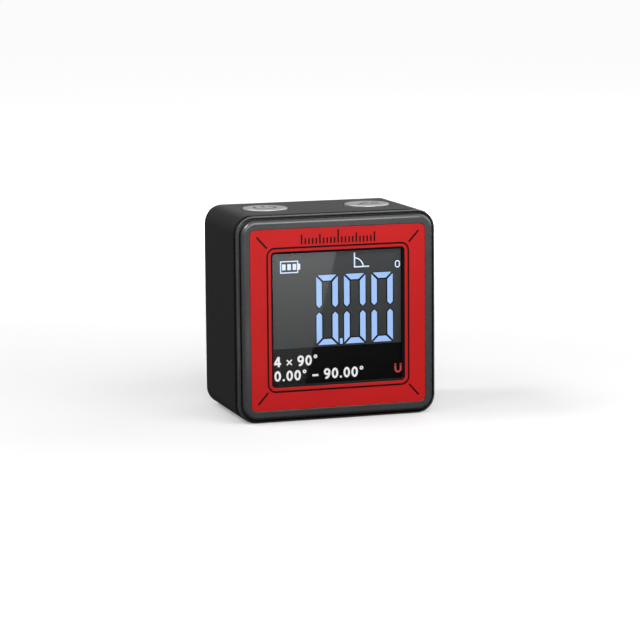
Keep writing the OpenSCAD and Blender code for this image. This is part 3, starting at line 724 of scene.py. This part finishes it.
def band_numbers():
    """Lines of plain numbers at the left of the window's dark band."""
    for line, (text, base) in enumerate(NUMBER_LINES):
        origin = Vector((window_low.x + BAND_LEFT, lens_low.y, window_low.z + base))
        shapes = number_line(text, NUMBER_HEIGHT, NUMBER_WEIGHT)
        printed(f"band_numbers_{line + 1}", shapes, origin, FRONT, "case", "white_plastic", WHITE_INK)


def mark_line(path, share=1.0, closed=False):
    """A stroke of a button's mark: its points are given in radii, its width as a share of the full one."""
    return stroke(np.asarray(path) * MARK_RADIUS, share * MARK_STROKE, closed)


def button_mark(name, node, body, shapes):
    """Marks printed on the middle of a button's top."""
    low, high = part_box(node)
    origin = Vector(((low.x + high.x) / 2, (low.y + high.y) / 2, high.z))
    return printed(name, shapes, origin, TOP, body, "silver_button", MARK_INK)


def power_mark():
    """A standby sign: a ring that is open at the top, with a bar in the opening."""
    ring = arc((0, 0), 1, QUARTER_TURN + MARK_OPENING, QUARTER_TURN + FULL_TURN - MARK_OPENING)
    shapes = [mark_line(ring), mark_line([(0, 0.2), (0, 1.25)])]
    return button_mark("power_mark", "power_button", "power_key", shapes)


def angle_mark():
    """An angle sign: a level leg, a sloping one and a small ring for degrees."""
    corner = (-1.1, -0.7)
    legs = [mark_line([(1.1, -0.7), corner]), mark_line([corner, (0.35, 0.75)])]
    degree = mark_line(oval((0.9, 0.4), 0.28, 0.28), 0.6, closed=True)
    return button_mark("angle_mark", "angle_button", "angle_key", [*legs, degree])


def carried_round(section, half_width, half_height, radius):
    """Rings of points round a rounded rectangle, one for each inset and height of a section: a point is its
    corner's centre plus the radius less the inset, along a direction that turns once round."""
    turn = np.linspace(0, QUARTER_TURN, CORNER_POINTS)[None, :] + QUARTER_TURN * np.arange(4)[:, None]
    signs = np.array([(1, 1), (-1, 1), (-1, -1), (1, -1)])
    centres = np.repeat(signs * (np.array([half_width, half_height]) - radius), CORNER_POINTS, axis=0)
    directions = np.stack([np.cos(turn), np.sin(turn)], -1).reshape(-1, 2)
    rings = [
        np.hstack([centres + directions * (radius - inset), np.full((len(centres), 1), height)])
        for inset, height in section
    ]
    return np.vstack(rings)


def display_window():
    """The lens: a rounded slab whose section runs up the side, over a small polished bevel and in
    across the front; only the front and the bevel are glossy."""
    size = lens_high - lens_low - Vector((0, LENS_BACK_GAP, 0))
    section = [(0, 0), (0, size.y - LENS_BEVEL), (LENS_BEVEL, size.y)]
    points = carried_round(section, size.x / 2, size.z / 2, LENS_RADIUS)
    around = len(points) // len(section)
    faces = tube_faces(len(section), around, False).tolist()
    back, front = list(range(around))[::-1], list(range(2 * around, 3 * around))
    middle = (lens_low + lens_high) / 2
    origin = Vector((middle.x, lens_high.y - LENS_BACK_GAP, middle.z))
    mesh = mesh_of("display_window", on_face(points, origin, FRONT), faces + [back, front])
    piece = add_piece(mesh, "case", "clear_lens", FINISHES["clear_lens"], LENS_BODY)
    is_body = np.zeros(len(mesh.polygons), np.int32)
    is_body[:around] = 1
    is_body[len(faces)] = 1
    mesh.polygons.foreach_set("material_index", is_body)
    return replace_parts(piece, "lens")


def window_border():
    """A black bead in the plate's opening: a five-sided section carried round the window's outline."""
    half_width = (window_high.x - window_low.x) / 2
    half_height = (window_high.z - window_low.z) / 2
    high = plate_high.y - plate_low.y - BORDER_RIM
    section = [
        (-BORDER_LAP, 0), (BORDER_WIDTH, 0), (BORDER_WIDTH, BORDER_RIM), (0, high), (-BORDER_LAP, high),
    ]
    points = carried_round(section, half_width, half_height, WINDOW_RADIUS)
    faces = tube_faces(len(section), len(points) // len(section), True)[:, ::-1].tolist()
    origin = Vector((0, lens_low.y - PRINT_LIFT, (window_low.z + window_high.z) / 2))
    mesh = mesh_of("window_border", on_face(points, origin, FRONT), faces)
    return add_piece(mesh, "case", "black_ink", EDGE_INK)


def lit_edges(name, node, reach):
    """Dark edges round lit strokes: each corner of a stroke is carried outwards in the plane of the
    display along its own normal, and laid flat behind the lit strokes."""
    mesh = bare_mesh(name, merged(node))
    points, normals = np.empty((2, len(mesh.vertices) * 3))
    mesh.vertices.foreach_get("co", points)
    mesh.vertex_normals.foreach_get("vector", normals)
    points = points.reshape(-1, 3)
    low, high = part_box(node)
    is_front = points[:, 1] < (low.y + high.y) / 2
    outward = normals.reshape(-1, 3) * (1, 0, 1)
    outward /= np.linalg.norm(outward, axis=1, keepdims=True)
    points += outward * reach
    points[:, 1] = high.y - np.where(is_front, PRINT_THICK, 0)
    mesh.vertices.foreach_set("co", points.ravel())
    return add_piece(mesh, "case", "black_ink", SHADE_INK)


def pale_floor():
    """A wide pale sheet under the object. It takes shadows, but adds no light of its own to the object.
    Its own glow grows evenly with the distance from the object, so that its far end stays pale."""
    mesh = bpy.data.meshes.new("pale_floor")
    signs = ((-1, -1), (1, -1), (1, 1), (-1, 1))
    corners = [(x * FLOOR_REACH, y * FLOOR_REACH, -FLOOR_DROP) for x, y in signs]
    mesh.from_pydata(corners, [], [(0, 1, 2, 3)])
    floor = add_object("pale_floor", mesh)
    f = Finish("pale_floor")
    away = f.node("ShaderNodeVectorMath", {"operation": "LENGTH"}, {0: f.place()}, "Value")
    far = (away - GLOW_START) * (1 / GLOW_RUN)
    mesh.materials.append(f.principled(
        Base_Color=f.between((0.37, 0.37, 0.37), (0.39, 0.39, 0.39), f.noise(60 * MM)),
        Roughness=0.8,
        Specular_IOR_Level=0.1,
        Emission_Color=f.between((GLOW_NEAR,) * 3, (GLOW_FAR,) * 3, far),
        Emission_Strength=1.0,
    ))
    floor.visible_diffuse = False
    floor.visible_glossy = False


def soft_box(name, place, size, radiance):
    """A rectangular soft light of that brightness, looking at the object; the camera doesn't see it."""
    lamp = bpy.data.lights.new(name, "AREA")
    lamp.shape = "RECTANGLE"
    lamp.size, lamp.size_y = size
    lamp.energy = radiance * math.pi * size[0] * size[1]
    box = add_object(name, lamp)
    away = (Vector(place) - BOX_TARGET).normalized()
    box.matrix_world = Matrix.Translation(place) @ away.to_track_quat("Z", "Y").to_matrix().to_4x4()
    box.visible_camera = False


def gloss_card():
    """A glowing strip lying on the floor before the object, whose edge shows aslant in the lens. Its
    light grows from the near end to the far one as a power of the way along it."""
    length = (CARD_FAR - CARD_NEAR).length
    along = (CARD_FAR - CARD_NEAR).normalized()
    aside = along.cross(Vector((0, 0, 1))) * CARD_WIDTH
    mesh = bpy.data.meshes.new("gloss_card")
    mesh.from_pydata([CARD_NEAR, CARD_FAR, CARD_FAR + aside, CARD_NEAR + aside], [], [(0, 1, 2, 3)])
    card = add_object("gloss_card", mesh)
    f = Finish("gloss_card")
    metres = f.node("ShaderNodeVectorMath", {"operation": "DOT_PRODUCT"}, {0: f.place(), 1: along}, "Value")
    way = (metres - CARD_NEAR.dot(along)) * (1 / length)
    mesh.materials.append(f.principled(
        Base_Color=(0, 0, 0, 1),
        Specular_IOR_Level=0.0,
        Emission_Color=f.between((CARD_DIMMEST,) * 3, (1, 1, 1), way ** CARD_CURVE),
        Emission_Strength=CARD_RADIANCE,
    ))
    card.visible_camera = False
    card.visible_diffuse = False
    card.visible_shadow = False


def studio():
    """Dim pale surroundings, a broad sun from the left front, and soft boxes above the front, at the upper
    left, towards the bezel's corner, far behind, low behind and at the right."""
    world = bpy.data.worlds.new("studio")
    world.use_nodes = True
    background = world.node_tree.nodes["Background"]
    background.inputs["Color"].default_value = (1, 1, 1, 1)
    background.inputs["Strength"].default_value = WORLD_STRENGTH
    bpy.context.scene.world = world

    sun = bpy.data.lights.new("key", "SUN")
    sun.energy = SUN_STRENGTH
    sun.angle = SUN_ANGLE
    add_object("key", sun).rotation_euler = SUN_FROM.to_track_quat("Z", "Y").to_euler()
    for name, place, size, radiance in SOFT_BOXES:
        soft_box(name, place, size, radiance)
    gloss_card()


def camera():
    """A long lens on the aim point, from the photograph's side and height, with a slight roll."""
    level_share = math.cos(ELEVATION)
    away = Vector((
        math.sin(AZIMUTH) * level_share, -math.cos(AZIMUTH) * level_share, math.sin(ELEVATION)
    ))
    level = Vector((0, 0, 1)).cross(away).normalized()
    right = math.cos(ROLL) * level + math.sin(ROLL) * away.cross(level)
    turn = Matrix((right, away.cross(right), away)).transposed().to_4x4()
    data = bpy.data.cameras.new("camera")
    data.lens = LENS
    data.sensor_width = SENSOR
    data.clip_start, data.clip_end = CLIP_NEAR, CLIP_FAR
    view = add_object("camera", data)
    view.matrix_world = Matrix.Translation(AIM + away * AIM_DISTANCE) @ turn
    bpy.context.scene.camera = view


dress_nodes()
softened("main_housing", "housing_shell", "case", "housing_plastic", CASE_EDGE)
paint_seam_shadow(softened("front_bezel", "bezel_frame", "case", "bezel_plastic", CASE_EDGE))
softened("face_plate", "red_face", "case", "red_plate", PLATE_EDGE)
plate_scale()
magnet_sign()
band_numbers()
power_mark()
angle_mark()
display_window()
window_border()
lit_edges("figure_edges", "lcd_figures", FIGURE_EDGE)
lit_edges("sign_edges", "lcd_signs", SIGN_EDGE)

pale_floor()
studio()
camera()
bpy.context.scene.view_settings.view_transform = "Standard"
